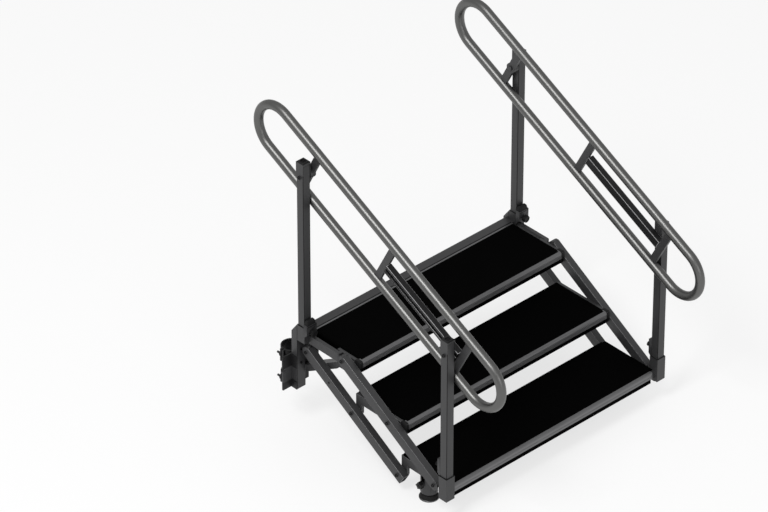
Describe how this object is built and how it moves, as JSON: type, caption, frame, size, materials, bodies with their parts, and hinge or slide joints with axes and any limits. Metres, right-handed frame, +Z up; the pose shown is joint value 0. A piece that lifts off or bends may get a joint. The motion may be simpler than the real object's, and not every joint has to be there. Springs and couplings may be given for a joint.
{
  "type": "stage stairs",
  "caption": "Adjustable stage stairs: level treads on parallel links, plug-in square posts, looped tube handrails, clamps for the stage legs.",
  "frame": {"origin": "On the floor, midway across the treads and midway along the part's outline from front to back, in the plane under the two feet.", "axes": "+X across the flight to the right seen from the audience side looking up the flight, +Y up the flight towards the stage, +Z up."},
  "size_m": [1.1316, 1.2262, 1.2618],
  "materials": {
    "tread_board": "black, matte, anti-slip",
    "nosing": "dark grey, satin",
    "frame_steel": "dark grey, satin",
    "handrail_tube": "polished dark grey",
    "dark_fittings": "black, satin",
    "foot_rubber": "matte"
  },
  "bodies": {
    "deck_frame": {"top_tread_board": "tread_board", "top_tread_nosing": "nosing", "rear_cross_rail": "frame_steel", "left_top_handle": "frame_steel", "left_rear_sleeve": "frame_steel", "left_column": "frame_steel", "left_strut": "frame_steel", "left_clamp_saddle": "dark_fittings", "right_top_handle": "frame_steel", "right_rear_sleeve": "frame_steel", "right_column": "frame_steel", "right_strut": "frame_steel", "right_clamp_saddle": "dark_fittings"},
    "upper_links": {"left_upper_link": "frame_steel", "right_upper_link": "frame_steel"},
    "lower_links": {"left_lower_link": "frame_steel", "right_lower_link": "frame_steel"},
    "middle_tread": {"middle_tread_board": "tread_board", "middle_tread_nosing": "nosing", "left_middle_side_rail": "frame_steel", "right_middle_side_rail": "frame_steel"},
    "bottom_tread": {"bottom_tread_board": "tread_board", "bottom_tread_nosing": "nosing", "left_bottom_side_rail": "frame_steel", "right_bottom_side_rail": "frame_steel", "left_front_sleeve": "frame_steel", "right_front_sleeve": "frame_steel"},
    "left_rear_post": {"left_rear_post": "frame_steel", "left_rear_post_cap": "frame_steel"},
    "left_front_post": {"left_front_post": "frame_steel", "left_front_post_cap": "frame_steel"},
    "left_handrail": {"left_handrail_tube": "handrail_tube", "left_rear_crossbar": "frame_steel", "left_middle_crossbar": "frame_steel", "left_front_crossbar": "frame_steel", "left_slide_channel": "dark_fittings"},
    "left_rear_latch": {"left_rear_latch": "dark_fittings"},
    "left_front_latch": {"left_front_latch": "dark_fittings"},
    "left_upper_clamp_jaw": {"left_upper_clamp_jaw": "dark_fittings"},
    "left_lower_clamp_jaw": {"left_lower_clamp_jaw": "dark_fittings"},
    "left_foot": {"left_foot_tube": "frame_steel", "left_foot_disc": "foot_rubber"},
    "left_foot_knob": {"left_foot_knob": "dark_fittings"},
    "right_rear_post": {"right_rear_post": "frame_steel", "right_rear_post_cap": "frame_steel"},
    "right_front_post": {"right_front_post": "frame_steel", "right_front_post_cap": "frame_steel"},
    "right_handrail": {"right_handrail_tube": "handrail_tube", "right_rear_crossbar": "frame_steel", "right_middle_crossbar": "frame_steel", "right_front_crossbar": "frame_steel", "right_slide_channel": "dark_fittings"},
    "right_rear_latch": {"right_rear_latch": "dark_fittings"},
    "right_front_latch": {"right_front_latch": "dark_fittings"},
    "right_upper_clamp_jaw": {"right_upper_clamp_jaw": "dark_fittings"},
    "right_lower_clamp_jaw": {"right_lower_clamp_jaw": "dark_fittings"},
    "right_foot": {"right_foot_tube": "frame_steel", "right_foot_disc": "foot_rubber"},
    "right_foot_knob": {"right_foot_knob": "dark_fittings"}
  },
  "joints": [
    {"name": "stair_fold", "type": "hinge", "parent": "deck_frame", "child": "upper_links", "pos_m": [0, 0.13699, 0.401], "axis": [1, 0, 0], "range_deg": [-16, 14]},
    {"name": "lower_link_pivot", "type": "hinge", "parent": "deck_frame", "child": "lower_links", "pos_m": [0, 0.31699, 0.345], "axis": [1, 0, 0], "range_deg": [-16, 14]},
    {"name": "middle_tread_pivot", "type": "hinge", "parent": "upper_links", "child": "middle_tread", "pos_m": [0, -0.09101, 0.263], "axis": [1, 0, 0], "range_deg": [-14, 16]},
    {"name": "bottom_tread_pivot", "type": "hinge", "parent": "upper_links", "child": "bottom_tread", "pos_m": [0, -0.31901, 0.125], "axis": [1, 0, 0], "range_deg": [-14, 16]},
    {"name": "left_rear_post_slide", "type": "slide", "parent": "deck_frame", "child": "left_rear_post", "axis": [0, 0, 1], "range_m": [0, 0.1]},
    {"name": "left_front_post_slide", "type": "slide", "parent": "bottom_tread", "child": "left_front_post", "axis": [0, 0, 1], "range_m": [0, 0.1]},
    {"name": "left_handrail_pivot", "type": "hinge", "parent": "left_rear_post", "child": "left_handrail", "pos_m": [-0.47025, 0.33399, 1.064], "axis": [1, 0, 0], "range_deg": [-11, 10]},
    {"name": "left_rear_latch_pull", "type": "slide", "parent": "deck_frame", "child": "left_rear_latch", "axis": [0, -1, 0], "range_m": [0, 0.008]},
    {"name": "left_front_latch_pull", "type": "slide", "parent": "bottom_tread", "child": "left_front_latch", "axis": [0, 1, 0], "range_m": [0, 0.008]},
    {"name": "left_upper_clamp_slide", "type": "slide", "parent": "deck_frame", "child": "left_upper_clamp_jaw", "axis": [0, 1, 0], "range_m": [0, 0.012]},
    {"name": "left_lower_clamp_slide", "type": "slide", "parent": "deck_frame", "child": "left_lower_clamp_jaw", "axis": [0, 1, 0], "range_m": [0, 0.012]},
    {"name": "left_foot_slide", "type": "slide", "parent": "bottom_tread", "child": "left_foot", "axis": [0, 0, 1], "range_m": [-0.045, 0.006]},
    {"name": "left_foot_knob_turn", "type": "hinge", "parent": "bottom_tread", "child": "left_foot_knob", "pos_m": [-0.4565, -0.23701, 0.071], "axis": [-1, 0, 0], "continuous": true},
    {"name": "right_rear_post_slide", "type": "slide", "parent": "deck_frame", "child": "right_rear_post", "axis": [0, 0, 1], "range_m": [0, 0.1]},
    {"name": "right_front_post_slide", "type": "slide", "parent": "bottom_tread", "child": "right_front_post", "axis": [0, 0, 1], "range_m": [0, 0.1]},
    {"name": "right_handrail_pivot", "type": "hinge", "parent": "right_rear_post", "child": "right_handrail", "pos_m": [0.47025, 0.33399, 1.064], "axis": [1, 0, 0], "range_deg": [-11, 10]},
    {"name": "right_rear_latch_pull", "type": "slide", "parent": "deck_frame", "child": "right_rear_latch", "axis": [0, -1, 0], "range_m": [0, 0.008]},
    {"name": "right_front_latch_pull", "type": "slide", "parent": "bottom_tread", "child": "right_front_latch", "axis": [0, 1, 0], "range_m": [0, 0.008]},
    {"name": "right_upper_clamp_slide", "type": "slide", "parent": "deck_frame", "child": "right_upper_clamp_jaw", "axis": [0, 1, 0], "range_m": [0, 0.012]},
    {"name": "right_lower_clamp_slide", "type": "slide", "parent": "deck_frame", "child": "right_lower_clamp_jaw", "axis": [0, 1, 0], "range_m": [0, 0.012]},
    {"name": "right_foot_slide", "type": "slide", "parent": "bottom_tread", "child": "right_foot", "axis": [0, 0, 1], "range_m": [-0.045, 0.006]},
    {"name": "right_foot_knob_turn", "type": "hinge", "parent": "bottom_tread", "child": "right_foot_knob", "pos_m": [0.4565, -0.23701, 0.071], "axis": [1, 0, 0], "continuous": true}
  ],
  "couplings": [
    {"joint": "lower_link_pivot", "follows": "stair_fold", "ratio": 1},
    {"joint": "middle_tread_pivot", "follows": "stair_fold", "ratio": -1},
    {"joint": "bottom_tread_pivot", "follows": "stair_fold", "ratio": -1},
    {"joint": "left_front_post_slide", "follows": "left_rear_post_slide", "ratio": 1},
    {"joint": "left_handrail_pivot", "follows": "stair_fold", "ratio": 0.669},
    {"joint": "right_front_post_slide", "follows": "right_rear_post_slide", "ratio": 1},
    {"joint": "right_handrail_pivot", "follows": "stair_fold", "ratio": 0.669}
  ]
}
